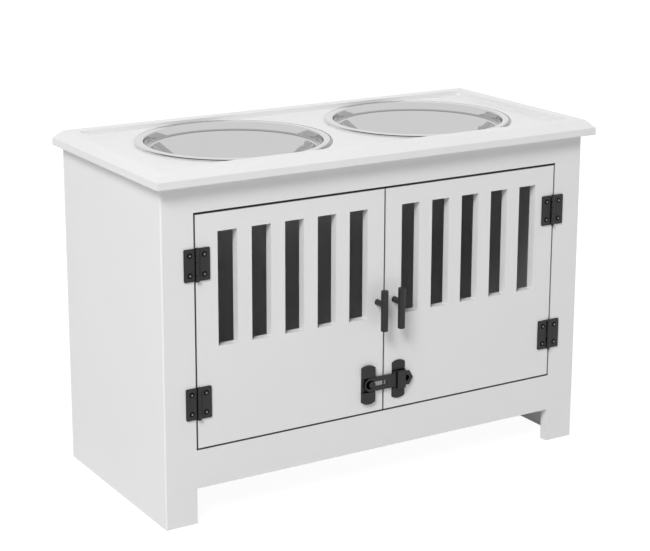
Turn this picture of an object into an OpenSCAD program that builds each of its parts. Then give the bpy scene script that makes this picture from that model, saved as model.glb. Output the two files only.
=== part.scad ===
// Elevated dog feeder with a storage cupboard, two lift-out bowls and two slotted doors.
// Units are millimetres. X runs along the row of bowls, Y runs from front to back, Z is up.
// The origin is on the floor under the middle of the whole object.

/* [Case] */
// Width over the side panels
case_w = 628; // [612:1:660]
// Depth from the front face to the back edges
case_d = 283; // [281:1:310]
// Height from the floor to the top of the frame
overall_h = 450; // [440:1:520]
// Thickness of the side panels, stiles and rails
board_t = 12.5; // [12.2:0.1:14]
// Thickness of the cupboard floor
floor_t = 12; // [9:0.5:16]
// Thickness of the back panel
back_t = 9; // [5:0.5:9]
// Radius on the front upright corners
corner_r = 2; // [1:0.5:4]

/* [Face frame] */
// Width of each stile, which runs down to form a front foot
stile_w = 43; // [36:1:50]
// Height of the top rail
top_rail_h = 35.6; // [31:0.1:40]
// Height of the bottom rail
bottom_rail_h = 49.6; // [40:0.1:60]
// Gap between the floor and the bottom rail
foot_h = 46; // [30:1:60]

/* [Top board] */
// Thickness of the frame around the top
top_t = 20; // [18:0.5:24]
// Height of the upright outer edge under the bevel
edge_h = 9.5; // [6:0.5:12]
// Width of the flat strip inside the bevel
flat_w = 15.5; // [12:0.5:15.5]
// Frame overhang at each side
side_over = 11; // [6:1:14]
// Frame overhang at the front
front_over = 16; // [12:1:20]
// Frame overhang at the back
back_over = 8; // [4:1:12]
// Depth of the recessed panel under the frame's top
recess_depth = 7; // [5:0.5:8]
// Width of the rebate that holds the panel's edge
rebate_w = 8; // [6:0.5:9]

/* [Bowls] */
// Room left over beside a bowl's rim in the recess, both sides together
bowl_gap = 2; // [2:0.5:18]
// Width of the flat rim ring
rim_w = 12; // [11:0.5:14]
// Diameter of the rolled bead at the rim's edge
bead_d = 3; // [2.4:0.1:3.6]
// Sheet thickness of a bowl
bowl_t = 1; // [0.8:0.1:1.4]
// Depth of a bowl from rim to floor
bowl_depth = 58; // [35:1:60]
// Drop of the ledge under the rim
shoulder_drop = 11; // [9:0.5:14]
// Inward step from the rim to the inner edge of the ledge
shoulder_in = 8.5; // [7.5:0.5:10]
// Slope of the short wall between the rim and the ledge from upright, in degrees
lip_slope = 11; // [8:1:14]
// Slope of a bowl's lower wall from upright, in degrees
wall_slope = 18; // [12:1:20]
// Distance between the bowls' centres
bowl_pitch = 283; // [270:1:300]
// Distance that the bowls sit behind the middle of the recess
bowl_shift = 0.5; // [0:0.1:0.9]
// Radial gap between a bowl and its hole
bowl_clear = 1; // [0.6:0.1:1.5]

/* [Doors] */
// Thickness of a door
door_t = 12; // [10:0.5:12]
// Gap beside, between and below the doors
door_gap = 2.5; // [1.5:0.1:3.5]
// Gap above the doors
head_gap = 3; // [2:0.1:4]
// Number of slots in a door
slot_count = 5; // [3:1:5]
// Width of a slot
slot_w = 27; // [20:0.5:30]
// Distance from one slot to the next
slot_pitch = 46.6; // [42:0.1:47]
// Height of a slot
slot_h = 144; // [110:1:150]
// Distance from a door's top to its slots
slot_drop = 23.3; // [18:0.1:30]
// Distance that the slots sit from the door's middle towards the seam
slot_shift = 2.6; // [0:0.1:4]

/* [Hinges] */
// Width of an open hinge
hinge_w = 34.6; // [32:0.2:38]
// Height of a hinge
hinge_h = 40.4; // [36:0.2:46]
// Thickness of a hinge leaf
leaf_t = 1.6; // [1.4:0.1:1.8]
// Outer diameter of the knuckles
knuckle_d = 4.8; // [4.6:0.1:5.2]
// Diameter of the hinge pin
pin_d = 2.5; // [2.2:0.1:2.8]
// Distance of the hinge pin from the stile's edge
hinge_axis_in = 3.6; // [3.2:0.1:4]
// Distance from a door's top to the middle of its upper hinge
hinge_top_drop = 60.8; // [50:0.1:70]
// Distance from a door's bottom to the middle of its lower hinge
hinge_bottom_rise = 58.2; // [50:0.1:70]
// Distance of the screws from the pin
hinge_screw_x = 9.8; // [9:0.1:11]
// Distance between the two screws of one leaf
hinge_screw_pitch = 24.6; // [20:0.1:26]

/* [Handles] */
// Length of a handle bar
bar_l = 54; // [44:1:64]
// Diameter of a handle bar
bar_d = 9.5; // [8:0.5:10]
// Distance from the door to the front of the bar
handle_out = 22; // [20:0.5:30]
// Diameter of a handle post
post_d = 8; // [7:0.1:8.5]
// Height of the posts above the floor
post_z = 244.4; // [230:0.1:250]
// Distance from a bar's top to its post
post_drop = 19.6; // [14:0.1:24]
// Distance of the left post from the seam
post_left_x = 10.4; // [9:0.1:14]
// Distance of the right post from the seam
post_right_x = 15.4; // [12:0.1:18]

/* [Latch] */
// Height of the latch's middle above the doors' bottom
latch_rise = 37.9; // [34:0.1:48]
// Width of the keeper and guide plates
plate_w = 19.4; // [18:0.2:20]
// Height of the keeper and guide plates
plate_h = 51.8; // [50:0.2:56]
// Radius of the plates' rounded ends
plate_end_r = 17.8; // [15:0.2:22]
// Thickness of the plates behind the strap
plate_t = 1.5; // [1.3:0.1:1.8]
// Distance of the keeper's middle from the seam
keeper_x = 24.3; // [23:0.1:26]
// Distance of the guide's middle from the seam
guide_x = 22.6; // [21.6:0.1:24]
// Height of the raised pads above the door
pad_t = 4.2; // [4:0.1:4.6]
// Distance of the plates' screws from the strap's middle
plate_screw_z = 20; // [17:0.5:20.5]
// Length of the strap from its round end to its tip
strap_l = 74.2; // [72:0.1:75]
// Width of the strap
strap_w = 18.6; // [16:0.2:19]
// Thickness of the strap
strap_t = 2.2; // [1.8:0.1:2.4]
// Distance of the strap's round end from the seam
strap_left_x = 30.6; // [30.4:0.1:31]
// Length of the strap's pointed end
tip_l = 5.4; // [4:0.1:7]
// Diameter of the strap's keyhole
keyhole_d = 11.6; // [11.2:0.1:12]
// Distance of the keyhole's left end from the strap's round end
keyhole_in = 1.8; // [1.5:0.1:2]
// Height of the strap's window
window_h = 6.6; // [6.2:0.1:7]
// Distance of the window's right end from the seam
window_x = 3.3; // [2:0.1:4]
// Distance of the stud from the seam
stud_x = 19.8; // [19.4:0.1:20.2]
// Diameter of the stud's shank
stud_d = 5.4; // [5:0.1:5.6]
// Diameter of the stud's head
stud_head_d = 9.2; // [8.8:0.1:9.4]
// Height of the guide's middle part
guide_h = 23.6; // [22:0.2:26]
// Radius of the arcs above and below the guide's middle part
guide_arc_r = 20; // [16:0.5:26]
// Width of the bridge over the strap
bridge_w = 12.1; // [10:0.1:13]
// Distance of the bridge's middle from the seam
bridge_x = 24.6; // [23.4:0.1:25.4]
// Height of the bridge above the door
bridge_out = 6.8; // [6.2:0.1:8]
// Distance of the finger dimple from the seam
dimple_x = 33.8; // [33:0.1:35]
// Diameter of the finger dimple
dimple_d = 8; // [6:0.1:8.4]

/* [Hidden] */

$fn = 64;
eps = 0.1;

// Finishes
paint = [0.93, 0.93, 0.93];
wood = [0.80, 0.68, 0.50];
grey = [0.66, 0.66, 0.66];
black = [0.14, 0.14, 0.14];
steel = [0.78, 0.79, 0.80];

// Clearances
run_fit = 0.05;
slide_fit = 0.3;
screw_fit = 0.2;

// Top frame
bevel = top_t - edge_h;
frame_w = bevel + flat_w;
frame_z = overall_h - top_t;
panel_top_z = overall_h - recess_depth;
top_x = case_w / 2 + side_over;
top_y0 = -front_over;
top_y1 = case_d + back_over;
recess_x = top_x - frame_w;
recess_y0 = top_y0 + frame_w;
recess_y1 = top_y1 - frame_w;
bevel_round = 1.5;
edge_round = 1;
lip_round = 0.8;
round_steps = 4;
half_bevel_turn = 22.5;

// Whole object, centred on the origin from the handles to the back of the frame
face_y = (max(handle_out, front_over) - case_d - back_over) / 2;

// Face frame and doors
half_w = case_w / 2;
open_half = half_w - stile_w;
open_z0 = foot_h + bottom_rail_h;
open_z1 = frame_z - top_rail_h;
door_z0 = open_z0 + door_gap;
door_z1 = open_z1 - head_gap;
door_w = open_half - 1.5 * door_gap;
door_inner_x = door_gap / 2;
door_mid_x = door_inner_x + door_w / 2;
slot_mid_x = door_mid_x - slot_shift;
slot_z1 = door_z1 - slot_drop;
inside_x = half_w - board_t;
back_y0 = case_d - back_t;

// Cleats, stop and dowels
cleat = 18;
stop_t = 12;
stop_h = 28;
stop_cover = 13;
stop_z0 = door_z1 - stop_cover;
dowel_d = 6;
dowel_l = 30;
dowel_edge = 10;
rail_dowel_zs = [open_z1 + dowel_edge, frame_z - dowel_edge, foot_h + dowel_edge, open_z0 - dowel_edge];

// Bowls
bowl_x = bowl_pitch / 2;
bowl_y = (recess_y0 + recess_y1) / 2 + bowl_shift;
bowl_r = (min(recess_y1 - recess_y0, bowl_pitch, 2 * recess_x - bowl_pitch) - bowl_gap) / 2;
rim_r = bowl_r - rim_w;
rim_z = panel_top_z + bead_d;
shoulder_r = rim_r - shoulder_in;
rim_round = 2;
step_round = 1.5;
ledge_round = 2;
floor_round = 12;
bowl_steps = 8;
hole_r = rim_r + bowl_t + bowl_clear;

// Hinges
axis_x = open_half - hinge_axis_in;
knuckle_r = knuckle_d / 2;
wood_gap = 0.1;
axis_out = knuckle_r + wood_gap;
knuckles = 5;
knuckle_gap = 0.3;
knuckle_step = hinge_h / knuckles;
leaf_gap = 0.4;
knuckle_relief = 0.3;
leaf_corner_r = 1.5;
pin_cap_d = knuckle_d - 0.2;
pin_cap_h = 0.5;
pin_dome = 0.8;
hinge_zs = [door_z1 - hinge_top_drop, door_z0 + hinge_bottom_rise];
screw_d = 3;
screw_l = 10;
screw_end_gap = 0.5;
screw_head_d = 5.6;
screw_head_h = 1.2;

// Handles
bar_y = -(handle_out - bar_d / 2);
bar_z = post_z + post_drop - bar_l / 2;
bar_round = 1.2;
cope_fit = 0.02;
bolt_d = 4;
bolt_grip = 9;
bolt_end_gap = 1;
bolt_head_d = 8;
bolt_head_h = 2.4;
bolt_edge = 0.8;

// Latch
latch_z = door_z0 + latch_rise;
channel_side = 0.6;
channel_h = strap_w + 2 * channel_side;
strap_back = plate_t + slide_fit;
strap_front = strap_back + strap_t;
bridge_in = strap_front + slide_fit;
strap_end_x = strap_w / 2 - strap_left_x;
strap_tip_x = strap_l - strap_left_x;
keyhole_x0 = keyhole_in + keyhole_d / 2 - strap_left_x;
stud_head_gap = 0.5;
stud_head_h = 1.3;
stud_edge = 0.4;
keyhole_x1 = stud_head_gap + (stud_head_d - keyhole_d) / 2 - stud_x;
stud_head_y = strap_front + slide_fit;
dimple_depth = 1.4;
plate_head_d = 5;
plate_head_h = 1.1;
plate_screw_l = 9;

// Places a child in the case's frame, whose zero in Y is the front face of the doors.
module in_case() translate([0, face_y, 0]) children();

// Keeps the left copy, or mirrors it to the right.
module on_side(right) mirror([right ? 1 : 0, 0, 0]) children();

// A box from its lowest corner to its highest corner.
module block(low, high) translate(low) cube(high - low);

// A hole or rod along Y that starts at y0 and runs back to y1.
module rod_y(x, y0, y1, z, d) translate([x, y0, z]) rotate([-90, 0, 0]) cylinder(h = y1 - y0, d = d);

// A rod along X from x0 to x1.
module rod_x(x0, x1, y, z, d) translate([x0, y, z]) rotate([0, 90, 0]) cylinder(h = x1 - x0, d = d);

// Points of an arc from angle a0 to angle a1.
function arc_points(x, y, r, a0, a1, steps) =
    [for (i = [0:steps]) let (a = a0 + (a1 - a0) * i / steps) [x + r * cos(a), y + r * sin(a)]];

// Section of the top frame, from the outer edge inwards, with its arrises rounded and the panel's rebate.
module frame_section() {
    half_turn = tan(half_bevel_turn);
    polygon(concat(
        arc_points(lip_round, lip_round, lip_round, 270, 180, round_steps),
        arc_points(edge_round, edge_h - edge_round * half_turn, edge_round, 180, 135, round_steps),
        arc_points(bevel + bevel_round * half_turn, top_t - bevel_round, bevel_round, 135, 90, round_steps),
        arc_points(frame_w - lip_round, top_t - lip_round, lip_round, 90, 0, round_steps),
        [[frame_w, top_t - recess_depth], [frame_w - rebate_w, top_t - recess_depth], [frame_w - rebate_w, 0]]
    ));
}

// A straight length of frame along X whose outer edge is at y = 0, mitred at both ends.
module mitred_length(length) intersection() {
    translate([-length / 2, 0, 0]) rotate([90, 0, 90]) linear_extrude(length) frame_section();
    linear_extrude(top_t) polygon([
        [-length / 2, 0], [length / 2, 0], [length / 2 - frame_w, frame_w], [frame_w - length / 2, frame_w]
    ]);
}

module frame_front() translate([0, top_y0, frame_z]) mitred_length(2 * top_x);

module frame_back() translate([0, top_y1, frame_z]) rotate([0, 0, 180]) mitred_length(2 * top_x);

module frame_end(right) on_side(right)
    translate([-top_x, (top_y0 + top_y1) / 2, frame_z]) rotate([0, 0, -90]) mitred_length(top_y1 - top_y0);

// Recessed panel with a round hole for each bowl.
module bowl_panel() {
    difference() {
        block([-recess_x - rebate_w, recess_y0 - rebate_w, frame_z],
              [recess_x + rebate_w, recess_y1 + rebate_w, panel_top_z]);
        for (side = [-1, 1]) translate([side * bowl_x, bowl_y, frame_z - eps])
            cylinder(h = top_t, r = hole_r, $fn = 96);
    }
}

module side_panel() block([-half_w, board_t, 0], [-inside_x, case_d, frame_z]);

// A bore above and below the height z for the screws of a hinge leaf or latch plate.
module screw_bores(x, z, offset_z, depth) for (end = [-1, 1])
    rod_y(x, -eps, depth, z + end * offset_z, screw_d + 2 * run_fit);

// Left stile with a rounded outer front corner and bores for the rail dowels and hinge screws.
module stile() difference() {
    union() {
        block([corner_r - half_w, 0, 0], [-open_half, board_t, frame_z]);
        block([-half_w, corner_r, 0], [-open_half, board_t, frame_z]);
        translate([corner_r - half_w, corner_r, 0]) cylinder(h = frame_z, r = corner_r);
    }
    for (z = rail_dowel_zs) rod_x(-open_half - dowel_l / 2, eps - open_half, board_t / 2, z, dowel_d);
    for (z = hinge_zs) screw_bores(-axis_x - hinge_screw_x, z, hinge_screw_pitch / 2, screw_l);
}

module rail(z0, z1) {
    difference() {
        block([-open_half, 0, z0], [open_half, board_t, z1]);
        for (z = rail_dowel_zs, side = [-1, 1]) if (z > z0 && z < z1)
            rod_x(side * open_half - dowel_l / 2, side * open_half + dowel_l / 2, board_t / 2, z, dowel_d);
    }
}

module dowels() for (z = rail_dowel_zs, side = [-1, 1])
    rod_x(side * open_half - dowel_l / 2, side * open_half + dowel_l / 2, board_t / 2, z, dowel_d);

module back_board() block([-inside_x, back_y0, foot_h], [inside_x, case_d, frame_z]);

module floor_board() block([-inside_x, board_t, open_z0 - floor_t], [inside_x, back_y0, open_z0]);

// Strips that carry the cupboard floor and the top along each side.
module cleat_strip(z1) block([-inside_x, board_t, z1 - cleat], [-inside_x + cleat, back_y0, z1]);

// Strip behind the top rail that the doors close against.
module stop_strip() block([-open_half, board_t, stop_z0], [open_half, board_t + stop_t, stop_z0 + stop_h]);

// Left edge of each slot in the left door.
slot_xs = [for (i = [0:slot_count - 1]) (i - (slot_count - 1) / 2) * slot_pitch - slot_mid_x - slot_w / 2];

// Left door with its slots, and bores for the hinge screws and the handle and latch fixings.
module door(post_x, plate_x) difference() {
    block([-door_inner_x - door_w, 0, door_z0], [-door_inner_x, door_t, door_z1]);
    for (x = slot_xs) block([x, -eps, slot_z1 - slot_h], [x + slot_w, door_t + eps, slot_z1]);
    for (z = hinge_zs) screw_bores(hinge_screw_x - axis_x, z, hinge_screw_pitch / 2, screw_l);
    screw_bores(-plate_x, latch_z, plate_screw_z, plate_screw_l);
    rod_y(-post_x, -eps, door_t + eps, post_z, bolt_d + screw_fit);
}

// Outline of a hinge leaf from the pin outwards, with its two outer corners rounded.
module leaf_outline(reach) {
    square([reach - leaf_corner_r, hinge_h]);
    translate([0, leaf_corner_r]) square([reach, hinge_h - 2 * leaf_corner_r]);
    for (z = [leaf_corner_r, hinge_h - leaf_corner_r])
        translate([reach - leaf_corner_r, z]) circle(r = leaf_corner_r, $fn = 32);
}

// Height of the lower end of a knuckle, from the lower end of the hinge.
function knuckle_z(k) = k * knuckle_step - hinge_h / 2;

// A flat leaf, cut back where the other leaf's knuckles turn.
module leaf_plate(first) difference() {
    translate([0, 0, -hinge_h / 2]) rotate([90, 0, 0]) linear_extrude(leaf_t) leaf_outline(hinge_w / 2);
    block([-eps, -leaf_t - eps, -hinge_h], [leaf_gap, eps, hinge_h]);
    for (k = [1 - first:2:knuckles - 1])
        block([-eps, -leaf_t - eps, knuckle_z(k) - knuckle_gap / 2],
              [knuckle_r + knuckle_relief, eps, knuckle_z(k + 1) + knuckle_gap / 2]);
}

// One leaf with every second knuckle, counted from the first.
module leaf(first) difference() {
    union() {
        leaf_plate(first);
        for (k = [first:2:knuckles - 1])
            translate([0, -axis_out, knuckle_z(k) + knuckle_gap / 2])
                cylinder(h = knuckle_step - knuckle_gap, d = knuckle_d);
    }
    translate([0, -axis_out, -hinge_h]) cylinder(h = 2 * hinge_h, d = pin_d + 2 * run_fit);
    for (end = [-1, 1])
        rod_y(hinge_screw_x, -leaf_t - eps, eps, end * hinge_screw_pitch / 2, screw_d + screw_fit);
}

module hinge_case_leaf(right, z) on_side(right) translate([-axis_x, 0, z]) mirror([1, 0, 0]) leaf(0);

module hinge_door_leaf(right, z) on_side(right) translate([-axis_x, 0, z]) leaf(1);

// Pin with a low cap above and below the knuckles.
module hinge_pin(right, z) on_side(right) translate([-axis_x, -axis_out, z]) {
    cylinder(h = hinge_h, d = pin_d, center = true);
    for (end = [0, 1]) mirror([0, 0, end]) translate([0, 0, hinge_h / 2]) {
        cylinder(h = pin_cap_h, d = pin_cap_d);
        translate([0, 0, pin_cap_h]) cylinder(h = pin_cap_h, d1 = pin_cap_d, d2 = pin_cap_d - 2 * pin_dome);
    }
}

// Domed wood screw whose head seats on a leaf.
module dome_screw(x, z) {
    dome_r = (screw_head_d * screw_head_d / 4 + screw_head_h * screw_head_h) / (2 * screw_head_h);
    rod_y(x, -leaf_t - eps, screw_l - screw_end_gap, z, screw_d);
    intersection() {
        translate([x, dome_r - leaf_t - screw_head_h, z]) sphere(r = dome_r);
        rod_y(x, -leaf_t - screw_head_h, -leaf_t, z, screw_head_d);
    }
}

module leaf_screws(x) for (z = hinge_zs, end = [-1, 1])
    dome_screw(x, z + end * hinge_screw_pitch / 2);

// Handle bar: an upright round bar with rounded ends.
module handle_bar(x) translate([x, bar_y, bar_z - bar_l / 2]) rotate_extrude() polygon(concat(
    [[0, 0]],
    arc_points(bar_d / 2 - bar_round, bar_round, bar_round, -90, 0, round_steps),
    arc_points(bar_d / 2 - bar_round, bar_l - bar_round, bar_round, 0, 90, round_steps),
    [[0, bar_l]]
));

// Post from the door to the bar, coped to the bar and bored for its bolt.
module handle_post(x) difference() {
    rod_y(x, bar_y, 0, post_z, post_d);
    translate([x, bar_y, post_z - post_d]) cylinder(h = 2 * post_d, d = bar_d + cope_fit);
    rod_y(x, -bolt_grip - bolt_end_gap, eps, post_z, bolt_d + 2 * run_fit);
}

// Bolt through the door into the post, with its pan head inside the cupboard.
module handle_bolt(x) {
    rod_y(x, -bolt_grip, door_t + eps, post_z, bolt_d);
    rod_y(x, door_t, door_t + bolt_head_h - bolt_edge, post_z, bolt_head_d);
    translate([x, door_t + bolt_head_h - bolt_edge, post_z]) rotate([-90, 0, 0])
        cylinder(h = bolt_edge, d1 = bolt_head_d, d2 = bolt_head_d - 2 * bolt_edge);
}

// Outline of a latch plate with an arc at each end, centred on the origin.
module plate_outline() intersection() {
    square([plate_w, plate_h], center = true);
    union() {
        square([plate_w, plate_h - 2 * plate_end_r], center = true);
        for (end = [-1, 1]) translate([0, end * (plate_h / 2 - plate_end_r)]) circle(r = plate_end_r);
    }
}

// Extrudes an outline drawn in X and Z forwards, from one height above the door to another.
module slab(low, high) translate([0, -low, 0]) rotate([90, 0, 0]) linear_extrude(high - low) children();

// Countersunk holes, or the screws that fill them, in a plate whose face is at the given height.
module countersunk(x, face, depth, fit) for (end = [-1, 1]) {
    z = latch_z + end * plate_screw_z;
    rod_y(x, -face, depth, z, screw_d + fit);
    translate([x, -face, z]) rotate([-90, 0, 0])
        cylinder(h = plate_head_h, d1 = plate_head_d + fit, d2 = screw_d + fit);
}

// Keeper on the left door: a thin plate with a raised pad above and below the strap.
module keeper() difference() {
    translate([-keeper_x, 0, latch_z]) difference() {
        slab(0, pad_t) plate_outline();
        slab(plate_t, pad_t + eps) square([plate_w + 2 * eps, channel_h], center = true);
    }
    countersunk(-keeper_x, pad_t, eps, screw_fit);
    rod_y(-stud_x, -plate_t - eps, eps, latch_z, stud_d);
}

// Stud riveted in the keeper, with a round head in front of the strap.
module stud() {
    rod_y(-stud_x, -stud_head_y - eps, 0, latch_z, stud_d);
    rod_y(-stud_x, stud_edge - stud_head_y - stud_head_h, -stud_head_y, latch_z, stud_head_d);
    translate([-stud_x, stud_edge - stud_head_y - stud_head_h, latch_z]) rotate([90, 0, 0])
        cylinder(h = stud_edge, d1 = stud_head_d, d2 = stud_head_d - 2 * stud_edge);
}

// Outline of the guide's raised middle, with an arc above and below.
module guide_outline() intersection() {
    square([plate_w, guide_h], center = true);
    for (end = [-1, 1]) translate([0, end * (guide_h / 2 - guide_arc_r)]) circle(r = guide_arc_r);
}

// Guide on the right door: a plate with a raised middle, and a bridge over the strap.
module guide() difference() {
    translate([guide_x, 0, latch_z]) {
        slab(0, plate_t) plate_outline();
        difference() {
            union() {
                slab(0, pad_t) guide_outline();
                slab(0, bridge_out) intersection() {
                    guide_outline();
                    translate([bridge_x - guide_x, 0]) square([bridge_w, guide_h], center = true);
                }
            }
            slab(plate_t, bridge_in) square([plate_w + 2 * eps, channel_h], center = true);
        }
    }
    countersunk(guide_x, plate_t, eps, screw_fit);
}

// Outline of the strap, round at its left end and pointed at its right end.
module strap_outline() {
    translate([strap_end_x, 0]) circle(d = strap_w);
    polygon([
        [strap_end_x, -strap_w / 2], [strap_tip_x - tip_l, -strap_w / 2], [strap_tip_x, 0],
        [strap_tip_x - tip_l, strap_w / 2], [strap_end_x, strap_w / 2]
    ]);
}

// A slot with round ends from x0 to x1, which are the centres of its ends.
module round_slot(x0, x1, height) {
    for (x = [x0, x1]) translate([x, 0]) circle(d = height);
    translate([x0, -height / 2]) square([x1 - x0, height]);
}

// Strap with a keyhole that the stud's head passes, a window that it does not, and a finger dimple.
module strap() difference() {
    translate([0, 0, latch_z]) slab(strap_back, strap_front) difference() {
        strap_outline();
        round_slot(keyhole_x0, keyhole_x1, keyhole_d);
        round_slot(keyhole_x0, window_x - window_h / 2, window_h);
    }
    rod_y(dimple_x, -strap_front - eps, dimple_depth - strap_front, latch_z, dimple_d);
}

// Radius of the centre of the arc into which a wall runs that slopes inwards from the last arc's end.
function next_arc_r(start_r, start_z, z, round, slope) =
    start_r - tan(slope) * (start_z - z + round * sin(slope)) - round * cos(slope);

// One side of a bowl's sheet, offset outwards from the inner side: rim, wall, ledge, wall and floor.
function bowl_side(offset) = let (
    wall_r = rim_r + rim_round * (1 - cos(lip_slope)),
    wall_z = rim_round * (sin(lip_slope) - 1),
    step_z = step_round - shoulder_drop,
    step_r = next_arc_r(wall_r, wall_z, step_z, step_round, lip_slope),
    ledge_z = -shoulder_drop - ledge_round,
    low_wall_r = shoulder_r + ledge_round * (1 - cos(wall_slope)),
    low_wall_z = ledge_z + ledge_round * sin(wall_slope),
    floor_z = floor_round - bowl_depth,
    floor_r = next_arc_r(low_wall_r, low_wall_z, floor_z, floor_round, wall_slope)
) concat(
    [[bowl_r - bead_d / 2, -offset]],
    arc_points(rim_r + rim_round, -rim_round, rim_round - offset, 90, 180 - lip_slope, bowl_steps),
    arc_points(step_r, step_z, step_round + offset, -lip_slope, -90, bowl_steps),
    arc_points(shoulder_r + ledge_round, ledge_z, ledge_round - offset, 90, 180 - wall_slope, bowl_steps),
    arc_points(floor_r, floor_z, floor_round + offset, -wall_slope, -90, bowl_steps),
    [[0, -bowl_depth - offset]]
);

function reversed(points) = [for (i = [len(points) - 1:-1:0]) points[i]];

// Half section of a bowl: the rolled bead and the sheet.
module bowl_section() {
    translate([bowl_r - bead_d / 2, -bead_d / 2]) circle(d = bead_d, $fn = 24);
    polygon(concat(bowl_side(0), reversed(bowl_side(bowl_t))));
}

module bowl(side) translate([side * bowl_x, bowl_y, rim_z]) rotate_extrude($fn = 128) bowl_section();

module top_panel() color(paint) in_case() bowl_panel();
module top_frame_front() color(paint) in_case() frame_front();
module top_frame_back() color(paint) in_case() frame_back();
module top_frame_left() color(paint) in_case() frame_end(false);
module top_frame_right() color(paint) in_case() frame_end(true);
module side_panel_left() color(paint) in_case() side_panel();
module side_panel_right() color(paint) in_case() on_side(true) side_panel();
module stile_left() color(paint) in_case() stile();
module stile_right() color(paint) in_case() on_side(true) stile();
module top_rail() color(paint) in_case() rail(open_z1, frame_z);
module bottom_rail() color(paint) in_case() rail(foot_h, open_z0);
module back_panel() color(grey) in_case() back_board();
module floor_panel() color(grey) in_case() floor_board();
module top_cleat_left() color(grey) in_case() cleat_strip(frame_z);
module top_cleat_right() color(grey) in_case() on_side(true) cleat_strip(frame_z);
module floor_cleat_left() color(grey) in_case() cleat_strip(open_z0 - floor_t);
module floor_cleat_right() color(grey) in_case() on_side(true) cleat_strip(open_z0 - floor_t);
module door_stop() color(grey) in_case() stop_strip();
module rail_dowels() color(wood) in_case() dowels();
module door_left() color(paint) in_case() door(post_left_x, keeper_x);
module door_right() color(paint) in_case() on_side(true) door(post_right_x, guide_x);
module hinge_case_leaf_left_top() color(black) in_case() hinge_case_leaf(false, hinge_zs[0]);
module hinge_case_leaf_left_bottom() color(black) in_case() hinge_case_leaf(false, hinge_zs[1]);
module hinge_case_leaf_right_top() color(black) in_case() hinge_case_leaf(true, hinge_zs[0]);
module hinge_case_leaf_right_bottom() color(black) in_case() hinge_case_leaf(true, hinge_zs[1]);
module hinge_door_leaf_left_top() color(black) in_case() hinge_door_leaf(false, hinge_zs[0]);
module hinge_door_leaf_left_bottom() color(black) in_case() hinge_door_leaf(false, hinge_zs[1]);
module hinge_door_leaf_right_top() color(black) in_case() hinge_door_leaf(true, hinge_zs[0]);
module hinge_door_leaf_right_bottom() color(black) in_case() hinge_door_leaf(true, hinge_zs[1]);
module hinge_pin_left_top() color(black) in_case() hinge_pin(false, hinge_zs[0]);
module hinge_pin_left_bottom() color(black) in_case() hinge_pin(false, hinge_zs[1]);
module hinge_pin_right_top() color(black) in_case() hinge_pin(true, hinge_zs[0]);
module hinge_pin_right_bottom() color(black) in_case() hinge_pin(true, hinge_zs[1]);
module hinge_screws_case() color(black) in_case()
    for (side = [-1, 1]) leaf_screws(side * (axis_x + hinge_screw_x));
module hinge_screws_door_left() color(black) in_case() leaf_screws(-axis_x + hinge_screw_x);
module hinge_screws_door_right() color(black) in_case() leaf_screws(axis_x - hinge_screw_x);
module handle_bar_left() color(black) in_case() handle_bar(-post_left_x);
module handle_bar_right() color(black) in_case() handle_bar(post_right_x);
module handle_post_left() color(black) in_case() handle_post(-post_left_x);
module handle_post_right() color(black) in_case() handle_post(post_right_x);
module handle_screw_left() color(steel) in_case() handle_bolt(-post_left_x);
module handle_screw_right() color(steel) in_case() handle_bolt(post_right_x);
module latch_keeper() color(black) in_case() keeper();
module latch_stud() color(black) in_case() stud();
module latch_guide() color(black) in_case() guide();
module latch_strap() color(black) in_case() strap();
module latch_screws_left() color(black) in_case()
    countersunk(-keeper_x, pad_t, plate_screw_l - screw_end_gap, 0);
module latch_screws_right() color(black) in_case()
    countersunk(guide_x, plate_t, plate_screw_l - screw_end_gap, 0);
module bowl_left() color(steel) in_case() bowl(-1);
module bowl_right() color(steel) in_case() bowl(1);

top_panel();
top_frame_front();
top_frame_back();
top_frame_left();
top_frame_right();
side_panel_left();
side_panel_right();
stile_left();
stile_right();
top_rail();
bottom_rail();
back_panel();
floor_panel();
top_cleat_left();
top_cleat_right();
floor_cleat_left();
floor_cleat_right();
door_stop();
rail_dowels();
door_left();
door_right();
hinge_case_leaf_left_top();
hinge_case_leaf_left_bottom();
hinge_case_leaf_right_top();
hinge_case_leaf_right_bottom();
hinge_door_leaf_left_top();
hinge_door_leaf_left_bottom();
hinge_door_leaf_right_top();
hinge_door_leaf_right_bottom();
hinge_pin_left_top();
hinge_pin_left_bottom();
hinge_pin_right_top();
hinge_pin_right_bottom();
hinge_screws_case();
hinge_screws_door_left();
hinge_screws_door_right();
handle_bar_left();
handle_bar_right();
handle_post_left();
handle_post_right();
handle_screw_left();
handle_screw_right();
latch_keeper();
latch_stud();
latch_guide();
latch_strap();
latch_screws_left();
latch_screws_right();
bowl_left();
bowl_right();
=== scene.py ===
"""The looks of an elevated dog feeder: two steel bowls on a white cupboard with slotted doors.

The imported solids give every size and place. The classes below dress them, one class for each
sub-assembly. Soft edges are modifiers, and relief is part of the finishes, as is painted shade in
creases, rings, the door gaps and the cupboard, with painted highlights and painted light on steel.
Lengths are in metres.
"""
import logging
import math
from collections.abc import Iterable
from dataclasses import dataclass
from enum import Enum
from typing import Any

import bpy
from mathutils import Matrix, Vector


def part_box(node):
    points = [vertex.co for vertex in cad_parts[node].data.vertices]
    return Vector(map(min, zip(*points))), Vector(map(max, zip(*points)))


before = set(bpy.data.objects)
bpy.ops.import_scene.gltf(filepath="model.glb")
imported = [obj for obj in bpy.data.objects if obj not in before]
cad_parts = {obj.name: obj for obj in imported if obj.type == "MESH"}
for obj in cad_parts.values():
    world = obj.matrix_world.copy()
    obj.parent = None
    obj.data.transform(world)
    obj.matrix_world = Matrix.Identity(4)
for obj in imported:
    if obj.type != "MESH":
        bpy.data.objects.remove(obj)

log = logging.getLogger("feeder")

MM = 0.001
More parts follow.
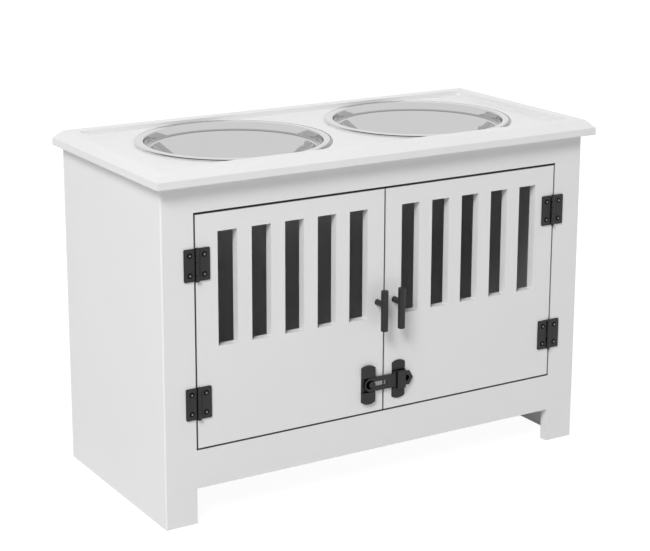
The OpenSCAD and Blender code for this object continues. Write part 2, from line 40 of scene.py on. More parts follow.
# Numbers of the Mix node's sockets that hold colours
MIX_FIRST, MIX_SECOND, MIX_RESULT = 6, 7, 2
WHITE = (1.0, 1.0, 1.0, 1.0)
# Dead black, the colour of painted shade in crevices
DEAD_BLACK = (0.002, 0.002, 0.002, 1.0)
OPENNESS_SAMPLES = 16
SHARP_ANGLE = math.radians(40)
SAME_POINT = 0.001 * MM
FACES_ACROSS_EDGE = 2
Colour = tuple[float, float, float]
Place = tuple[float, float, float]


class Side(Enum):
    """The two sides of the object, as seen from the front."""

    LEFT = "left"
    RIGHT = "right"


class Slot(Enum):
    """The record's material slots."""

    PAINT = "white_paint"
    INNER_BOARD = "inner_board"
    DOWEL = "dowel_wood"
    HINGE = "hinge_black"
    LATCH = "latch_black"
    BOLT = "zinc_bolt"
    STEEL = "bowl_steel"


class Value:
    """A shader value. Python's operators on it add Math nodes to its graph."""

    def __init__(self, graph: "Graph", socket: bpy.types.NodeSocket) -> None:
        """Wraps an output socket.

        Args:
            graph: The graph that new nodes are added to.
            socket: The output socket that holds the value.
        """
        self.graph = graph
        self.socket = socket

    def _math(self, operation: str, *values: "Value | float") -> "Value":
        """Adds one Math node.

        Args:
            operation: The Math node's operation.
            values: Its inputs, in order.

        Returns:
            The node's result.
        """
        return self.graph.value("ShaderNodeMath", {"operation": operation}, dict(enumerate(values)))

    def __add__(self, other: "Value | float") -> "Value":
        """Sum with a value or a number."""
        return self._math("ADD", self, other)

    __radd__ = __add__

    def __sub__(self, other: "Value | float") -> "Value":
        """This value less another."""
        return self._math("SUBTRACT", self, other)

    def __rsub__(self, other: float) -> "Value":
        """A number less this value."""
        return self._math("SUBTRACT", other, self)

    def __mul__(self, other: "Value | float") -> "Value":
        """Product with a value or a number."""
        return self._math("MULTIPLY", self, other)

    __rmul__ = __mul__

    def __truediv__(self, other: "Value | float") -> "Value":
        """This value over another."""
        return self._math("DIVIDE", self, other)

    def __rtruediv__(self, other: float) -> "Value":
        """A number over this value."""
        return self._math("DIVIDE", other, self)

    def __abs__(self) -> "Value":
        """The value without its sign."""
        return self._math("ABSOLUTE", self)

    def __lt__(self, other: "Value | float") -> "Value":
        """1 where this value is the lower one, and otherwise 0."""
        return self._math("LESS_THAN", self, other)

    def __gt__(self, other: "Value | float") -> "Value":
        """1 where this value is the higher one, and otherwise 0."""
        return self._math("GREATER_THAN", self, other)

    def larger(self, other: "Value | float") -> "Value":
        """The higher of this value and another."""
        return self._math("MAXIMUM", self, other)

    def root(self) -> "Value":
        """The square root."""
        return self._math("SQRT", self)

    def ramp(self, start: float, end: float) -> "Value":
        """Goes from 0 to 1 between two values.

        Args:
            start: Where the result leaves 0.
            end: Where it reaches 1.

        Returns:
            The clamped share.
        """
        inputs = {"Value": self, "From Min": start, "From Max": end}
        return self.graph.value("ShaderNodeMapRange", {"clamp": True}, inputs)


class Graph:
    """The node tree of a material or of the world."""

    def __init__(self, tree: bpy.types.NodeTree) -> None:
        """Empties a node tree.

        Args:
            tree: The tree to fill.
        """
        self.tree = tree
        tree.nodes.clear()

    def node(
        self,
        kind: str,
        settings: dict[str, Any] | None = None,
        inputs: dict[str | int, Any] | None = None,
    ) -> bpy.types.Node:
        """Adds a node.

        Args:
            kind: The node's type.
            settings: Its properties, set first.
            inputs: What goes to each input socket: a Value, an output socket or a plain value.

        Returns:
            The new node.
        """
        made = self.tree.nodes.new(kind)
        for name, setting in (settings or {}).items():
            setattr(made, name, setting)
        for key, given in (inputs or {}).items():
            source = given.socket if isinstance(given, Value) else given
            if isinstance(source, bpy.types.NodeSocket):
                self.tree.links.new(source, made.inputs[key])
            else:
                made.inputs[key].default_value = source
        return made

    def value(
        self,
        kind: str,
        settings: dict[str, Any] | None = None,
        inputs: dict[str | int, Any] | None = None,
        output: str | int = 0,
    ) -> Value:
        """Adds a node and wraps one of its outputs.

        Args:
            kind: The node's type.
            settings: Its properties.
            inputs: What goes to its inputs.
            output: The output to wrap.

        Returns:
            The wrapped output.
        """
        return Value(self, self.node(kind, settings, inputs).outputs[output])

    def split(self, place: bpy.types.NodeSocket) -> tuple[Value, Value, Value]:
        """Splits a place.

        Args:
            place: The place's socket.

        Returns:
            Its X, Y and Z.
        """
        across, along, up = self.node("ShaderNodeSeparateXYZ", None, {0: place}).outputs
        return Value(self, across), Value(self, along), Value(self, up)

    def position(self) -> tuple[Value, Value, Value]:
        """X, Y and Z of the place on the object at rest."""
        return self.split(self.node("ShaderNodeTexCoord").outputs["Object"])

    def noise(self, scale: float, detail: float, stretch: Place = (1.0, 1.0, 1.0)) -> Value:
        """Soft noise, fixed to the object.

        Args:
            scale: Waves to the metre.
            detail: Levels of finer noise.
            stretch: Factor on the scale along each axis.

        Returns:
            A value around one half.
        """
        place = self.node("ShaderNodeTexCoord").outputs["Object"]
        spread = self.node("ShaderNodeMapping", None, {"Vector": place, "Scale": stretch})
        inputs = {"Vector": spread.outputs[0], "Scale": scale, "Detail": detail}
        return self.value("ShaderNodeTexNoise", {"noise_dimensions": "3D"}, inputs)

    def blend(self, share: Value, first: Colour, second: Colour) -> bpy.types.NodeSocket:
        """Goes from one colour to another.

        Args:
            share: 0 for the first colour, 1 for the second.
            first: Linear colour.
            second: Linear colour.

        Returns:
            The mixed colour's socket.
        """
        return self.mix(share, (*first, 1.0), (*second, 1.0))

    def mix(self, share: Value, first: Any, second: Any) -> bpy.types.NodeSocket:
        """Goes from one colour to another, either of which may be a socket.

        Args:
            share: 0 for the first colour, 1 for the second.
            first: Colour with its alpha, or a colour's socket.
            second: Colour with its alpha, or a colour's socket.

        Returns:
            The mixed colour's socket.
        """
        inputs = {"Factor": share, MIX_FIRST: first, MIX_SECOND: second}
        return self.node("ShaderNodeMix", {"data_type": "RGBA"}, inputs).outputs[MIX_RESULT]

    def off_surface(self, reach: float) -> tuple[Value, Value, Value]:
        """Finds the place at a small distance in front of the surface, on the object at rest.

        Args:
            reach: The distance.

        Returns:
            The place's X, Y and Z.
        """
        coordinates = self.node("ShaderNodeTexCoord").outputs
        inputs = {0: coordinates["Normal"], 1: (reach,) * 3, 2: coordinates["Object"]}
        moved = self.node("ShaderNodeVectorMath", {"operation": "MULTIPLY_ADD"}, inputs)
        return self.split(moved.outputs[0])

    @staticmethod
    def within(place: tuple[Value, Value, Value], low: Vector, high: Vector) -> Value:
        """Tells whether a place lies in a box.

        Args:
            place: X, Y and Z.
            low: The box's lowest corner.
            high: The box's highest corner.

        Returns:
            1 in the box, and otherwise 0.
        """
        across, along, up = (
            (part > low[axis]) * (part < high[axis]) for axis, part in enumerate(place)
        )
        return across * along * up

    def bump(self, height: Value, distance: float) -> bpy.types.NodeSocket:
        """A normal that follows a height.

        Args:
            height: The height, from 0 to 1.
            distance: Depth of the relief, in metres.

        Returns:
            The normal's socket.
        """
        inputs = {"Height": height, "Distance": distance, "Strength": 1.0}
        return self.node("ShaderNodeBump", None, inputs).outputs[0]

    def openness(self, reach: float) -> Value:
        """Tells how open a surface lies to the room.

        Args:
            reach: How far off other surfaces still count.

        Returns:
            1 on open faces, down to 0 at the bottom of a narrow crevice.
        """
        inputs = {"Distance": reach}
        return self.value("ShaderNodeAmbientOcclusion", {"samples": OPENNESS_SAMPLES}, inputs, "AO")

    def surface(self, painted_shade: Value | None = None, **inputs: Any) -> None:
        """Ends the graph in a Principled shader.

        Args:
            painted_shade: Where given, 1 where the surface is painted dead black and matt instead,
                as painted shade.
            inputs: Its sockets, named with _ for a space.
        """
        named = {name.replace("_", " "): given for name, given in inputs.items()}
        last = self.node("ShaderNodeBsdfPrincipled", None, named).outputs[0]
        if painted_shade is not None:
            dead = self.node("ShaderNodeBsdfDiffuse", None, {"Color": DEAD_BLACK})
            mixed = {0: painted_shade, 1: last, 2: dead.outputs[0]}
            last = self.node("ShaderNodeMixShader", None, mixed).outputs[0]
        self.node("ShaderNodeOutputMaterial", None, {"Surface": last})


def new_material(name: str) -> tuple[bpy.types.Material, Graph]:
    """Makes a material with an empty graph.

    Args:
        name: The material's name.

    Returns:
        The material and its graph.
    """
    material = bpy.data.materials.new(name)
    material.use_nodes = True
    return material, Graph(material.node_tree)


@dataclass(frozen=True)
class ShadedInnerBoard:
    """Grey board inside the cupboard, whose grey is painted shade, with a faint upright grain."""

    # The grey stands for the shade in the closed cupboard: painted shade
    colour: Colour = (0.63, 0.63, 0.63)
    grain: Colour = (0.68, 0.68, 0.68)
    roughness: float = 0.62
    roughness_swing: float = 0.1
    grain_scale: float = 60.0
    fibre_scale: float = 400.0
    fibre_depth: float = 0.02 * MM
    upright: Place = (1.0, 1.0, 0.1)

    def tone(self, graph: Graph) -> bpy.types.NodeSocket:
        """Adds the board's colour.

        Args:
            graph: The graph to add to.

        Returns:
            The colour's socket.
        """
        fibres = graph.noise(self.grain_scale, detail=4.0, stretch=self.upright)
        return graph.blend(fibres, self.colour, self.grain)

    def material(self) -> bpy.types.Material:
        """Builds the material.

        Returns:
            The new material.
        """
        made, graph = new_material("inner_board")
        fibres = graph.noise(self.fibre_scale, detail=3.0, stretch=self.upright)
        graph.surface(
            Base_Color=self.tone(graph),
            Roughness=self.roughness + self.roughness_swing * (fibres - 0.5),
            Normal=graph.bump(fibres, self.fibre_depth),
        )
        return made


@dataclass(frozen=True)
class DoorOpening:
    """The opening in the face frame and the two doors that nearly fill it."""

    low: Vector
    high: Vector
    gap: float
    meeting_gap: float
    lip: float = 0.6 * MM
    reach: float = 1.0 * MM
    # Painted shade in the right and middle gaps, as a share of that in the others
    lit_share: float = 0.8

    def shade(self, graph: Graph) -> Value:
        """Finds the painted shade on the faces that look into the gaps round the doors.

        Args:
            graph: The graph to add to.

        Returns:
            1 in the gaps at the left, top and bottom, a little less in the others, else 0.
        """
        near = graph.off_surface(self.reach)
        inside = graph.within(near, self.low + Vector((0.0, self.lip, 0.0)), self.high)
        across, _, up = near
        deep = (across < self.low.x + self.gap).larger(up > self.high.z - self.gap)
        deep = deep.larger(up < self.low.z + self.gap)
        lit = (across > self.high.x - self.gap).larger(abs(across) < self.meeting_gap)
        return inside * deep.larger(self.lit_share * lit)


@dataclass(frozen=True)
class WhitePaint:
    """Sprayed satin paint on board, with the faint pebbling that a spray gun leaves."""

    colour: Colour = (0.83, 0.83, 0.826)
    shade: Colour = (0.80, 0.80, 0.797)
    # Painted shade in the gaps round the doors
    gap_shade_tone: Colour = (0.22, 0.22, 0.22)
    roughness: float = 0.42
    roughness_swing: float = 0.08
    mottle_scale: float = 9.0
    pebble_scale: float = 520.0
    pebble_depth: float = 0.018 * MM
    reach: float = 1.0 * MM

    def material(
        self,
        name: str,
        opening: DoorOpening | None = None,
        cupboard: tuple[Vector, Vector] | None = None,
    ) -> bpy.types.Material:
        """Builds the material.

        Args:
            name: The material's name.
            opening: Where given, faces that look into the gaps round the doors get painted shade.
            cupboard: Where given, the corners of a space whose walls get grey painted shade.

        Returns:
            The material.
        """
        made, graph = new_material(name)
        mottle = graph.noise(self.mottle_scale, detail=3.0)
        pebble = graph.noise(self.pebble_scale, detail=2.0)
        colour = graph.blend(mottle, self.colour, self.shade)
        roughness = self.roughness + self.roughness_swing * (mottle - 0.5)
        # Painted shade: faces inside the cupboard take the grey inner board tone
        if cupboard is not None:
            inner = ShadedInnerBoard()
            inside = graph.within(graph.off_surface(self.reach), *cupboard)
            colour = graph.mix(inside, colour, inner.tone(graph))
            roughness = roughness + (inner.roughness - self.roughness) * inside
        # Painted shade: faces in the gaps round the doors take the dark gap tone
        if opening is not None:
            colour = graph.mix(opening.shade(graph), colour, (*self.gap_shade_tone, 1.0))
        normal = graph.bump(pebble, self.pebble_depth)
        graph.surface(Base_Color=colour, Roughness=roughness, Normal=normal)
        return made


@dataclass(frozen=True)
class HingePlan:
    """Where the knuckles and screws of the four hinges lie, which mirror each other.

    A crease beside each knuckle and a ring round each screw are painted dead black, as painted
    shade.
    A small cross at each screw's middle is a painted highlight.
    """

    pin: Vector
    middle: float
    screw_out: float
    screw_rise: float
    knuckle: float
    ring_inner: float = 2.2 * MM
    ring_outer: float = 3.4 * MM
    cross_half: float = 0.32 * MM
    cross_reach: float = 1.0 * MM
    crease_half: float = 0.4 * MM
    crease_shift: float = 0.45 * MM

    @classmethod
    def measured(cls) -> "HingePlan":
        """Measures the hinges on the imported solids.

        Returns:
            The plan of the hinges.
        """
        low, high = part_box("hinge_pin_right_top")
        pin = (low + high) / 2
        lower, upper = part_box("hinge_pin_right_bottom")
        screws_low, screws_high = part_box("hinge_screws_door_right")
        head = (screws_high.x - screws_low.x) / 2
        leaf_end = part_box("hinge_door_leaf_right_top")[1].x
        return cls(
            pin=pin,
            middle=(pin.z + (lower.z + upper.z) / 2) / 2,
            screw_out=pin.x - screws_low.x - head,
            screw_rise=screws_high.z - head - pin.z,
            knuckle=leaf_end - pin.x,
        )

    def places(self, graph: Graph) -> tuple[Value, Value, Value]:
        """Folds the four hinges onto one.

        Args:
            graph: The graph to add to.

        Returns:
            The distance from the pin across, and from the nearest screw across and upwards.
        """
        across, _, up = graph.position()
        from_pin = abs(abs(across) - self.pin.x)
        from_hinge = abs(abs(up - self.middle) - (self.pin.z - self.middle))
        return from_pin, abs(from_pin - self.screw_out), abs(from_hinge - self.screw_rise)

    def painted_shade(self, graph: Graph) -> Value:
        """Finds the painted shade: the crease beside a knuckle and the one round each screw.

        Args:
            graph: The graph to add to.

        Returns:
            1 in a crease, and otherwise 0.
        """
        from_pin, across, up = self.places(graph)
        distance = (across * across + up * up).root()
        # Painted shade: a dark ring round each screw and a dark crease beside each knuckle
        ring = (distance > self.ring_inner) * (distance < self.ring_outer)
        crease = abs(from_pin - (self.knuckle + self.crease_shift)) < self.crease_half
        return ring.larger(crease)

    def glint_cross(self, graph: Graph) -> Value:
        """Finds the cross at the middle of each screw, a painted highlight of bright plain steel.

        Args:
            graph: The graph to add to.

        Returns:
            1 in the cross, and otherwise 0.
        """
        _, across, up = self.places(graph)
        flat = (across < self.cross_reach) * (up < self.cross_half)
        upright = (across < self.cross_half) * (up < self.cross_reach)
        return flat.larger(upright)


@dataclass(frozen=True)
class LatchPlan:
    """Where the keyhole and the finger dimple of the latch lie, with painted shade in both."""

    stud: Vector
    strap_front: float
    strap_back: float
    strap_tip: float
    keyhole: float = 8.6 * MM
    dimple_inset: float = 9.8 * MM
    dimple: float = 3.9 * MM
    skin: float = 0.1 * MM

    @classmethod
    def measured(cls) -> "LatchPlan":
        """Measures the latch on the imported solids.

        Returns:
            The plan of the latch.
        """
        low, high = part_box("latch_stud")
        strap_low, strap_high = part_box("latch_strap")
        return cls(
            stud=(low + high) / 2,
            strap_front=strap_low.y,
            strap_back=strap_high.y,
            strap_tip=strap_high.x,
        )

    def painted_shade(self, graph: Graph) -> Value:
        """Finds the painted shade on the plate behind the keyhole and in the hollow of the dimple.

        Args:
            graph: The graph to add to.

        Returns:
            1 in either, and otherwise 0.
        """
        across, along, up = graph.position()
        rise = up - self.stud.z
        from_stud = across - self.stud.x
        from_dimple = across - (self.strap_tip - self.dimple_inset)
        keyhole = (from_stud * from_stud + rise * rise).root() < self.keyhole
        dimple = (from_dimple * from_dimple + rise * rise).root() < self.dimple
        hollow = (along > self.strap_front + self.skin) * (along < self.strap_back - self.skin)
        return (keyhole * (along > self.strap_back)).larger(dimple * hollow)


@dataclass(frozen=True)
class BlackCoat:
    """Satin black coating on steel, worn a little lighter in patches.

    It is painted dead black, as painted shade, where other surfaces within the crevice's reach shut
    out the room.
    """

    name: str
    hinges: HingePlan | None = None
    latch: LatchPlan | None = None
    colour: Colour = (0.015, 0.015, 0.016)
    worn: Colour = (0.026, 0.026, 0.027)
    roughness: float = 0.40
    roughness_swing: float = 0.12
    patch_scale: float = 70.0
    gloss: float = 0.32
    grit_scale: float = 1500.0
    grit_depth: float = 0.01 * MM
    crevice: float = 4.0 * MM
    crevice_shut: float = 0.50
    crevice_clear: float = 0.85
    # Colour of the painted highlight at each screw's middle
    glint_tone: Colour = (0.36, 0.36, 0.36)

    def material(self) -> bpy.types.Material:
        """Builds the material.

        Returns:
            The new material.
        """
        made, graph = new_material(self.name)
        patches = graph.noise(self.patch_scale, detail=3.0)
        grit = graph.noise(self.grit_scale, detail=1.0)
        openness = graph.openness(self.crevice)
        # Painted shade: crevices that the room can't reach turn dead black
        painted_shade = 1 - openness.ramp(self.crevice_shut, self.crevice_clear)
        colour = graph.blend(patches, self.colour, self.worn)
        glint: Value | float = 0.0
        # Hinges: a painted highlight in the cross at each screw's middle, and painted shade in
        # creases and rings
        if self.hinges is not None:
            glint = self.hinges.glint_cross(graph)
            painted_shade = painted_shade.larger(self.hinges.painted_shade(graph)) * (1 - glint)
            colour = graph.mix(glint, colour, (*self.glint_tone, 1.0))
        if self.latch is not None:
            # Latch: painted shade behind the keyhole and in the dimple
            painted_shade = painted_shade.larger(self.latch.painted_shade(graph))
        graph.surface(
            painted_shade=painted_shade,
            Base_Color=colour,
            Metallic=glint,
            Roughness=self.roughness + self.roughness_swing * (patches - 0.5),
            Specular_IOR_Level=self.gloss,
            Normal=graph.bump(grit, self.grit_depth),
        )
        return made


@dataclass(frozen=True)
class SpunSteel:
    """Stainless steel spun on a lathe, with fine rings round each bowl's axis.

    The rim's bead is painted dark on its fore side and light on its low side, a painted dark line
    beside it is widest on its aft side, and a painted dark ring lies at the step, all painted shade
    and painted light. Both ways are given across the right bowl, and the left bowl repeats them.
    """

    axis: Vector
    bead_radius: float
    bead_top: float
    bead_side: float
    step_low: float
    step_high: float
    colour: Colour = (0.615, 0.615, 0.615)
    dull: Colour = (0.59, 0.59, 0.592)
    # Tones painted on the rim by position: painted shade and painted light
    bead_shade_tone: Colour = (0.13, 0.13, 0.13)
    bead_painted_light: Colour = (0.85, 0.85, 0.85)
    step_shade_tone: Colour = (0.40, 0.40, 0.40)
    seam_shade_tone: Colour = (0.05, 0.05, 0.05)
    seam_shade_least: float = 0.1 * MM
    seam_shade_most: float = 2.0 * MM
    fore: tuple[float, float] = (-0.20, -0.98)
    fore_fade: tuple[float, float] = (0.2, 0.5)
    aft: tuple[float, float] = (0.85, 0.53)
    aft_fade: tuple[float, float] = (-0.3, 0.1)
    roughness: float = 0.05
    roughness_swing: float = 0.02
    smear_scale: float = 24.0
    ring_scale: float = 1800.0
    ring_depth: float = 0.0004 * MM

    def material(self) -> bpy.types.Material:
        """Builds the material.

        Returns:
            The new material.
        """
        made, graph = new_material("bowl_steel")
        sideways, depth, height = graph.position()
        across = (abs(sideways) - self.axis.x) * ((sideways > 0.0) * 2.0 - 1.0)
        along = depth - self.axis.y
        radius = (across * across + along * along).root()
        # Ways across the bowl along which the rim's painted shade changes
        fore, aft = (
            ((across * way[0] + along * way[1]) / radius).ramp(*fade)
            for way, fade in ((self.fore, self.fore_fade), (self.aft, self.aft_fade))
        )
        smears = graph.noise(self.smear_scale, detail=3.0)
        lines = graph.value(
            "ShaderNodeTexNoise",
            {"noise_dimensions": "1D"},
            {"W": radius, "Scale": self.ring_scale, "Detail": 2.0},
        )
        bead = radius > self.bead_radius
        step = (height > self.step_low) * (height < self.step_high)
        # Where the painted shade of the dark line beside the bead lies
        seam_shade_width = self.seam_shade_least + (self.seam_shade_most - self.seam_shade_least) * aft
        seam = (radius > self.bead_radius - seam_shade_width) * (radius < self.bead_radius)
        colour = graph.blend(smears, self.colour, self.dull)
        for share, tone in (
            # Painted shade: a dark ring at the step
            (step, self.step_shade_tone),
            # Painted shade: a dark line beside the bead, widest on its aft side
            (seam * (height > self.step_high), self.seam_shade_tone),
            # Painted shade: the bead's dark fore side
            (bead * (height < self.bead_top) * fore, self.bead_shade_tone),
            # Painted light: the bead's lighter low side, standing for its reflection of the panel
            (bead * (height < self.bead_side), self.bead_painted_light),
        ):
            colour = graph.mix(share, colour, (*tone, 1.0))
        graph.surface(
            Base_Color=colour,
            Metallic=1.0,
            Roughness=self.roughness + self.roughness_swing * (smears - 0.5),
            Normal=graph.bump(lines, self.ring_depth),
        )
        return made


@dataclass(frozen=True)
class ZincPlate:
    """Bright zinc plating on the small bolts."""

    colour: Colour = (0.60, 0.61, 0.63)
    cloudy: Colour = (0.48, 0.49, 0.50)
    cloud_scale: float = 420.0
    roughness: float = 0.32
    roughness_swing: float = 0.1

    def material(self) -> bpy.types.Material:
        """Builds the material.

        Returns:
            The new material.
        """
        made, graph = new_material("zinc_bolt")
        clouds = graph.noise(self.cloud_scale, detail=3.0)
        graph.surface(
            Base_Color=graph.blend(clouds, self.colour, self.cloudy),
            Metallic=1.0,
            Roughness=self.roughness + self.roughness_swing * clouds,
        )
        return made


@dataclass(frozen=True)
class BeechDowel:
    """Plain beech, with its grain along the dowel."""

    colour: Colour = (0.55, 0.38, 0.22)
    grain: Colour = (0.42, 0.27, 0.14)
    roughness: float = 0.6
    roughness_swing: float = 0.1
    fibre_scale: float = 500.0
    fibre_depth: float = 0.05 * MM
    lengthwise: Place = (0.08, 1.0, 1.0)

    def material(self) -> bpy.types.Material:
        """Builds the material.

        Returns:
            The new material.
        """
        made, graph = new_material("dowel_wood")
        fibres = graph.noise(self.fibre_scale, detail=3.0, stretch=self.lengthwise)
        graph.surface(
            Base_Color=graph.blend(fibres, self.colour, self.grain),
            Roughness=self.roughness + self.roughness_swing * fibres,
            Normal=graph.bump(fibres, self.fibre_depth),
        )
        return made


def dress(names: Iterable[str], material: bpy.types.Material) -> None:
    """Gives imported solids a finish.

    Args:
        names: The solids' names.
        material: The material.
    """
    for name in names:
        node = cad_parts[name]
        node.data.materials.clear()
        node.data.materials.append(material)
        log.info("%s: %s", name, material.name)


def soften(names: Iterable[str], width: float) -> None:
    """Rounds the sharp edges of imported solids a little, as paint and handling do.

    Args:
        names: The solids' names.
        width: Width of the rounding.
    """
    for name in names:
        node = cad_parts[name]
        weld = node.modifiers.new("join_faces", "WELD")
        weld.merge_threshold = SAME_POINT
        bevel = node.modifiers.new("soft_edges", "BEVEL")
        bevel.width = width
        bevel.segments = FACES_ACROSS_EDGE
        bevel.limit_method = "ANGLE"
        bevel.angle_limit = SHARP_ANGLE
        bevel.use_clamp_overlap = True
        shading = node.modifiers.new("even_shading", "WEIGHTED_NORMAL")
        shading.keep_sharp = True


@dataclass
class Case:
    """The cupboard: its sides, face frame, back, floor and the strips that hold them."""

    edge: float = 0.5 * MM
    slack: float = 0.1 * MM
    face_frame: tuple[str, ...] = ("stile_left", "stile_right", "top_rail", "bottom_rail")
    outer: tuple[str, ...] = (
        "side_panel_left",
        "side_panel_right",
        "back_panel",
        "floor_panel",
    )
    inner: tuple[str, ...] = (
        "top_cleat_left",
        "top_cleat_right",
        "floor_cleat_left",
        "floor_cleat_right",
        "door_stop",
    )

    def cupboard(self) -> tuple[Vector, Vector]:
        """Finds the space inside.

        Returns:
            Its lowest and its highest corner.
        """
        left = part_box("side_panel_left")[1].x
        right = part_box("side_panel_right")[0].x
        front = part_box("stile_left")[1].y
        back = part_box("back_panel")[0].y
        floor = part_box("floor_panel")[1].z
        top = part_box("top_frame_front")[0].z
        return Vector((left, front, floor)), Vector((right, back, top))

    def opening(self) -> DoorOpening:
        """Finds the opening for the doors and the gaps round them.

        Returns:
            The opening, with gaps that are a little wider than the real ones.
        """
        left_low, left_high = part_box("stile_left")
        low = Vector((left_high.x, left_low.y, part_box("bottom_rail")[1].z))
        high = Vector((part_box("stile_right")[0].x, left_high.y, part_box("top_rail")[0].z))
        return DoorOpening(
            low=low,
            high=high,
            gap=high.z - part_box("door_left")[1].z + self.slack,
            meeting_gap=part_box("door_right")[0].x + self.slack,
        )

    def build(self, board: bpy.types.Material) -> None:
        """Dresses the boards.

        Args:
            board: Finish of the boards that show outside.
        """
        boards = self.outer + self.face_frame
        dress(boards, board)
        # The strips inside the cupboard take the grey inner board, as painted shade
        dress(self.inner, ShadedInnerBoard().material())
        dress(["rail_dowels"], BeechDowel().material())
        soften(self.face_frame, self.edge)
        log.info("case: %d boards and strips", len(boards) + len(self.inner))


@dataclass
class TopBoard:
    """The top: four mitred lengths of moulding round a recessed panel with two holes."""

    lengths: tuple[str, ...] = ("front", "back", "left", "right")

    def build(self, paint: bpy.types.Material, board: bpy.types.Material) -> None:
        """Dresses the moulding and the panel.

        Args:
            paint: Finish of the moulding.
            board: Finish of the panel, grey underneath as painted shade.
        """
        mouldings = [f"top_frame_{length}" for length in self.lengths]
        dress(mouldings, paint)
        dress(["top_panel"], board)
        log.info("top board: %d mouldings and a panel", len(mouldings))


@dataclass
class Door:
    """One slotted door with its hinges, handle and screws."""

    side: Side
    edge: float = 0.6 * MM

    def build(
        self, paint: bpy.types.Material, black: bpy.types.Material, hinge: bpy.types.Material
    ) -> None:
        """Dresses the door, its hinges and its handle.

        Args:
            paint: Finish of the door.
            black: Finish of the handle.
            hinge: Finish of the hinges and their screws.
        """
        side = self.side.value
        dress([f"door_{side}"], paint)
        soften([f"door_{side}"], self.edge)
        hinges = [
            f"hinge_{piece}_{side}_{level}"
            for piece in ("case_leaf", "door_leaf", "pin")
            for level in ("top", "bottom")
        ]
        dress(hinges, hinge)
        dress([f"hinge_screws_door_{side}"], hinge)
        dress([f"handle_bar_{side}", f"handle_post_{side}"], black)
        dress([f"handle_screw_{side}"], ZincPlate().material())
        log.info("door on the %s: %d hinge pieces", side, len(hinges))


@dataclass
class Latch:
    """The sliding latch across the seam."""

    pieces: tuple[str, ...] = (
        "latch_keeper",
        "latch_stud",
        "latch_strap",
        "latch_guide",
        "latch_screws_left",
        "latch_screws_right",
    )

    def build(self, black: bpy.types.Material) -> None:
        """Dresses the latch.

        Args:
            black: Finish of the metalwork.
        """
        dress(self.pieces, black)
        log.info("latch: %d pieces", len(self.pieces))


@dataclass
class Bowls:
    """The two spun steel bowls."""

    bead: float = 3.0 * MM
    # Heights below the rim's top where the bead's painted shade and painted light start
    bead_top: float = 0.25 * MM
    bead_side: float = 1.5 * MM
    step_drop: float = 10.9 * MM
    step_height: float = 1.6 * MM

    def build(self) -> None:
        """Dresses the bowls."""
        low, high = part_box("bowl_right")
        rim = (high.x - low.x) / 2
        step = high.z - self.step_drop
        steel = SpunSteel(
            axis=(low + high) / 2,
            bead_radius=rim - self.bead / 2,
            bead_top=high.z - self.bead_top,
            bead_side=high.z - self.bead_side,
            step_low=step,
            step_high=step + self.step_height,
        ).material()
        dress([f"bowl_{side.value}" for side in Side], steel)


@dataclass
class Lamp:
    """A soft square lamp that faces the object."""

    name: str
    direction: Place
    reach: float
    size: float
    power: float
    aim: Place = (0.0, 0.0, 0.25)

    def build(self) -> None:
        """Adds the lamp."""
        data = bpy.data.lights.new(self.name, "AREA")
        data.shape = "SQUARE"
        data.size = self.size
        data.energy = self.power
        lamp = bpy.data.objects.new(self.name, data)
        bpy.context.scene.collection.objects.link(lamp)
        away = Vector(self.direction).normalized()
        lamp.location = Vector(self.aim) + away * self.reach
        lamp.rotation_euler = away.to_track_quat("Z", "Y").to_euler()
        lamp.visible_glossy = False


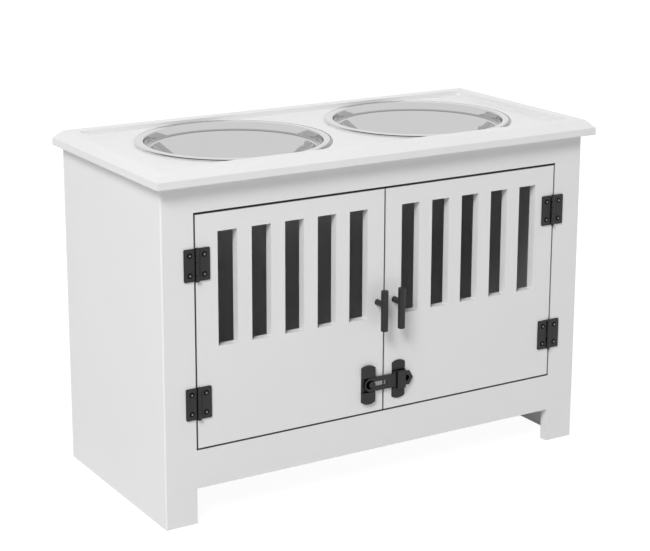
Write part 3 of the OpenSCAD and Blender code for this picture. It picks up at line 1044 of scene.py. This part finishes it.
@dataclass
class Studio:
    """The camera, the lamps, the floor and the white room.

    The room and the floor look white to the camera and in reflections. They light the object
    less than they look, so that the lamps shape it. The camera's angles are in degrees.
    """

    camera_place: Place = (-1.184245, -1.930620, 0.894768)
    camera_turn: float = 31.378388
    camera_dip: float = 13.891077
    camera_roll: float = 0.166053
    lens_mm: float = 97.2918
    sensor_mm: float = 36.0
    shift_y: float = -0.1
    far_clip: float = 100.0
    room_light: float = 0.15
    room_look: float = 1.0
    floor_half: float = 12.0
    floor_colour: Colour = (0.77, 0.77, 0.77)
    floor_glow: float = 1.18
    glow_share: float = 0.80
    lamps: tuple[Lamp, ...] = (
        Lamp("high_key_lamp", (-0.54, -0.44, 0.71), reach=6.0, size=1.9, power=139.0),
        Lamp("low_key_lamp", (-0.60, -0.52, 0.61), reach=6.0, size=1.9, power=152.0),
        Lamp("back_lamp", (0.0, 0.6, 0.8), reach=5.0, size=2.4, power=37.0),
        Lamp("right_lamp", (0.85, 0.0, 0.53), reach=5.0, size=2.4, power=77.0),
    )

    def build(self) -> None:
        """Adds everything round the object."""
        self._camera()
        self._world()
        self._floor()
        for lamp in self.lamps:
            lamp.build()
        bpy.context.scene.view_settings.view_transform = "Standard"
        log.info("studio: camera, floor and %d lamps", len(self.lamps))

    def _camera(self) -> None:
        """Places the camera at the picture's viewpoint."""
        angles = (self.camera_turn, self.camera_dip, self.camera_roll)
        turn, dip, roll = (math.radians(angle) for angle in angles)
        flat = Vector((math.sin(turn), math.cos(turn), 0.0))
        ahead = flat * math.cos(dip) - Vector((0.0, 0.0, math.sin(dip)))
        level = Vector((math.cos(turn), -math.sin(turn), 0.0))
        upward = level.cross(ahead)
        right = level * math.cos(roll) + upward * math.sin(roll)
        above = upward * math.cos(roll) - level * math.sin(roll)
        data = bpy.data.cameras.new("camera")
        data.sensor_fit = "HORIZONTAL"
        data.sensor_width = self.sensor_mm
        data.lens = self.lens_mm
        data.shift_y = self.shift_y
        data.clip_end = self.far_clip
        camera = bpy.data.objects.new("camera", data)
        bpy.context.scene.collection.objects.link(camera)
        axes = Matrix((right, above, -ahead)).transposed().to_4x4()
        camera.matrix_world = Matrix.Translation(self.camera_place) @ axes
        bpy.context.scene.camera = camera

    @staticmethod
    def _seen(graph: Graph) -> Value:
        """Tells the rays that see a surface itself, straight or in a reflection.

        Args:
            graph: The graph to add to.

        Returns:
            1 for a camera, glossy or transmission ray, and otherwise 0.
        """
        path = graph.node("ShaderNodeLightPath").outputs
        camera, glossy, through = (
            Value(graph, path[f"Is {kind} Ray"]) for kind in ("Camera", "Glossy", "Transmission")
        )
        return camera.larger(glossy).larger(through)

    def _world(self) -> None:
        """Makes a white room that lights softly and looks white."""
        world = bpy.data.worlds.new("white_room")
        world.use_nodes = True
        bpy.context.scene.world = world
        graph = Graph(world.node_tree)
        light, look = (
            graph.node("ShaderNodeBackground", None, {"Color": WHITE, "Strength": strength})
            for strength in (self.room_light, self.room_look)
        )
        inputs = {0: self._seen(graph), 1: light.outputs[0], 2: look.outputs[0]}
        mixed = graph.node("ShaderNodeMixShader", None, inputs)
        graph.node("ShaderNodeOutputWorld", None, {"Surface": mixed.outputs[0]})

    def _floor(self) -> None:
        """Lays a plain pale floor that keeps the object's shadow."""
        half = self.floor_half
        corners = [(-half, -half, 0.0), (half, -half, 0.0), (half, half, 0.0), (-half, half, 0.0)]
        mesh = bpy.data.meshes.new("floor")
        mesh.from_pydata(corners, [], [(0, 1, 2, 3)])
        floor = bpy.data.objects.new("floor", mesh)
        bpy.context.scene.collection.objects.link(floor)
        material, graph = new_material("pale_floor")
        matt = graph.node("ShaderNodeBsdfDiffuse", None, {"Color": (*self.floor_colour, 1.0)})
        glow = graph.node("ShaderNodeEmission", None, {"Strength": self.floor_glow})
        inputs = {0: self.glow_share * self._seen(graph), 1: matt.outputs[0], 2: glow.outputs[0]}
        mixed = graph.node("ShaderNodeMixShader", None, inputs)
        graph.node("ShaderNodeOutputMaterial", None, {"Surface": mixed.outputs[0]})
        mesh.materials.append(material)


def clear_defaults() -> None:
    """Takes out the objects that a new Blender file starts with."""
    for name in ("Cube", "Light", "Camera"):
        spare = bpy.data.objects.get(name)
        if spare is not None:
            bpy.data.objects.remove(spare)


def main() -> None:
    """Builds the dressed feeder and its studio."""
    logging.basicConfig(level=logging.INFO, format="%(name)s: %(message)s")
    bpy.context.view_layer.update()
    clear_defaults()
    case = Case()
    paint = WhitePaint()
    opening = case.opening()
    # The case's boards carry painted shade in the door gaps and inside the cupboard
    board = paint.material("case_board", opening, case.cupboard())
    black = BlackCoat("handle_black").material()
    hinge = BlackCoat("hinge_black", hinges=HingePlan.measured()).material()
    case.build(board)
    TopBoard().build(paint.material("white_paint"), board)
    # The doors carry painted shade in the gaps round them
    door_paint = paint.material("door_paint", opening)
    for side in Side:
        Door(side).build(door_paint, black, hinge)
    dress(["hinge_screws_case"], hinge)
    Latch().build(BlackCoat("latch_black", latch=LatchPlan.measured()).material())
    Bowls().build()
    Studio().build()


if __name__ == "__main__":
    main()
